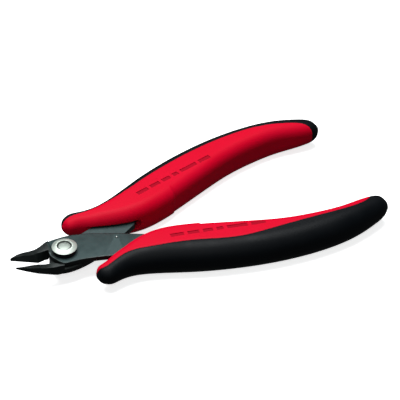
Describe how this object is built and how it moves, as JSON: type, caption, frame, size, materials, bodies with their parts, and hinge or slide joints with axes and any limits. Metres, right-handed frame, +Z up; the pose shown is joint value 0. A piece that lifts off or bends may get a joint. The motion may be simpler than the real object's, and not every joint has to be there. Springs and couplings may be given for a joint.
{
  "type": "flush cut pliers",
  "caption": "Small flush cutting pliers with an angled head, two lapped steel levers on one pivot and curved two-tone handles that spring open.",
  "frame": {"origin": "middle of the tool's box in plan, on the surface that it lies on", "axes": "+X from the jaws to the handle ends, +Y towards the far handle, +Z up along the pivot"},
  "size_m": [0.1386, 0.072, 0.0131],
  "materials": {
    "blade_steel": "dark phosphated steel, satin",
    "pivot_nickel": "nickel plated, satin",
    "pivot_collar_black": "blackened steel",
    "spring_steel": "bare spring wire",
    "handle_red": "moulded red plastic, satin",
    "grip_black": "moulded soft rubber, matt"
  },
  "bodies": {
    "near_lever": {"upper_blade": "blade_steel", "near_handle_core": "handle_red", "near_handle_grip": "grip_black", "pivot_pin": "pivot_nickel", "pivot_collar": "pivot_collar_black", "pivot_cap": "pivot_nickel", "return_spring": "spring_steel"},
    "far_lever": {"lower_blade": "blade_steel", "far_handle_core": "handle_red", "far_handle_grip": "grip_black"}
  },
  "joints": [
    {"name": "pivot", "type": "hinge", "parent": "near_lever", "child": "far_lever", "pos_m": [-0.04946, 0, 0.00654], "axis": [0, 0, -1], "range_deg": [0, 13.6], "stiffness_Nm_per_rad": 0.3, "springref_deg": -8.59, "deforming": ["return_spring"]}
  ]
}
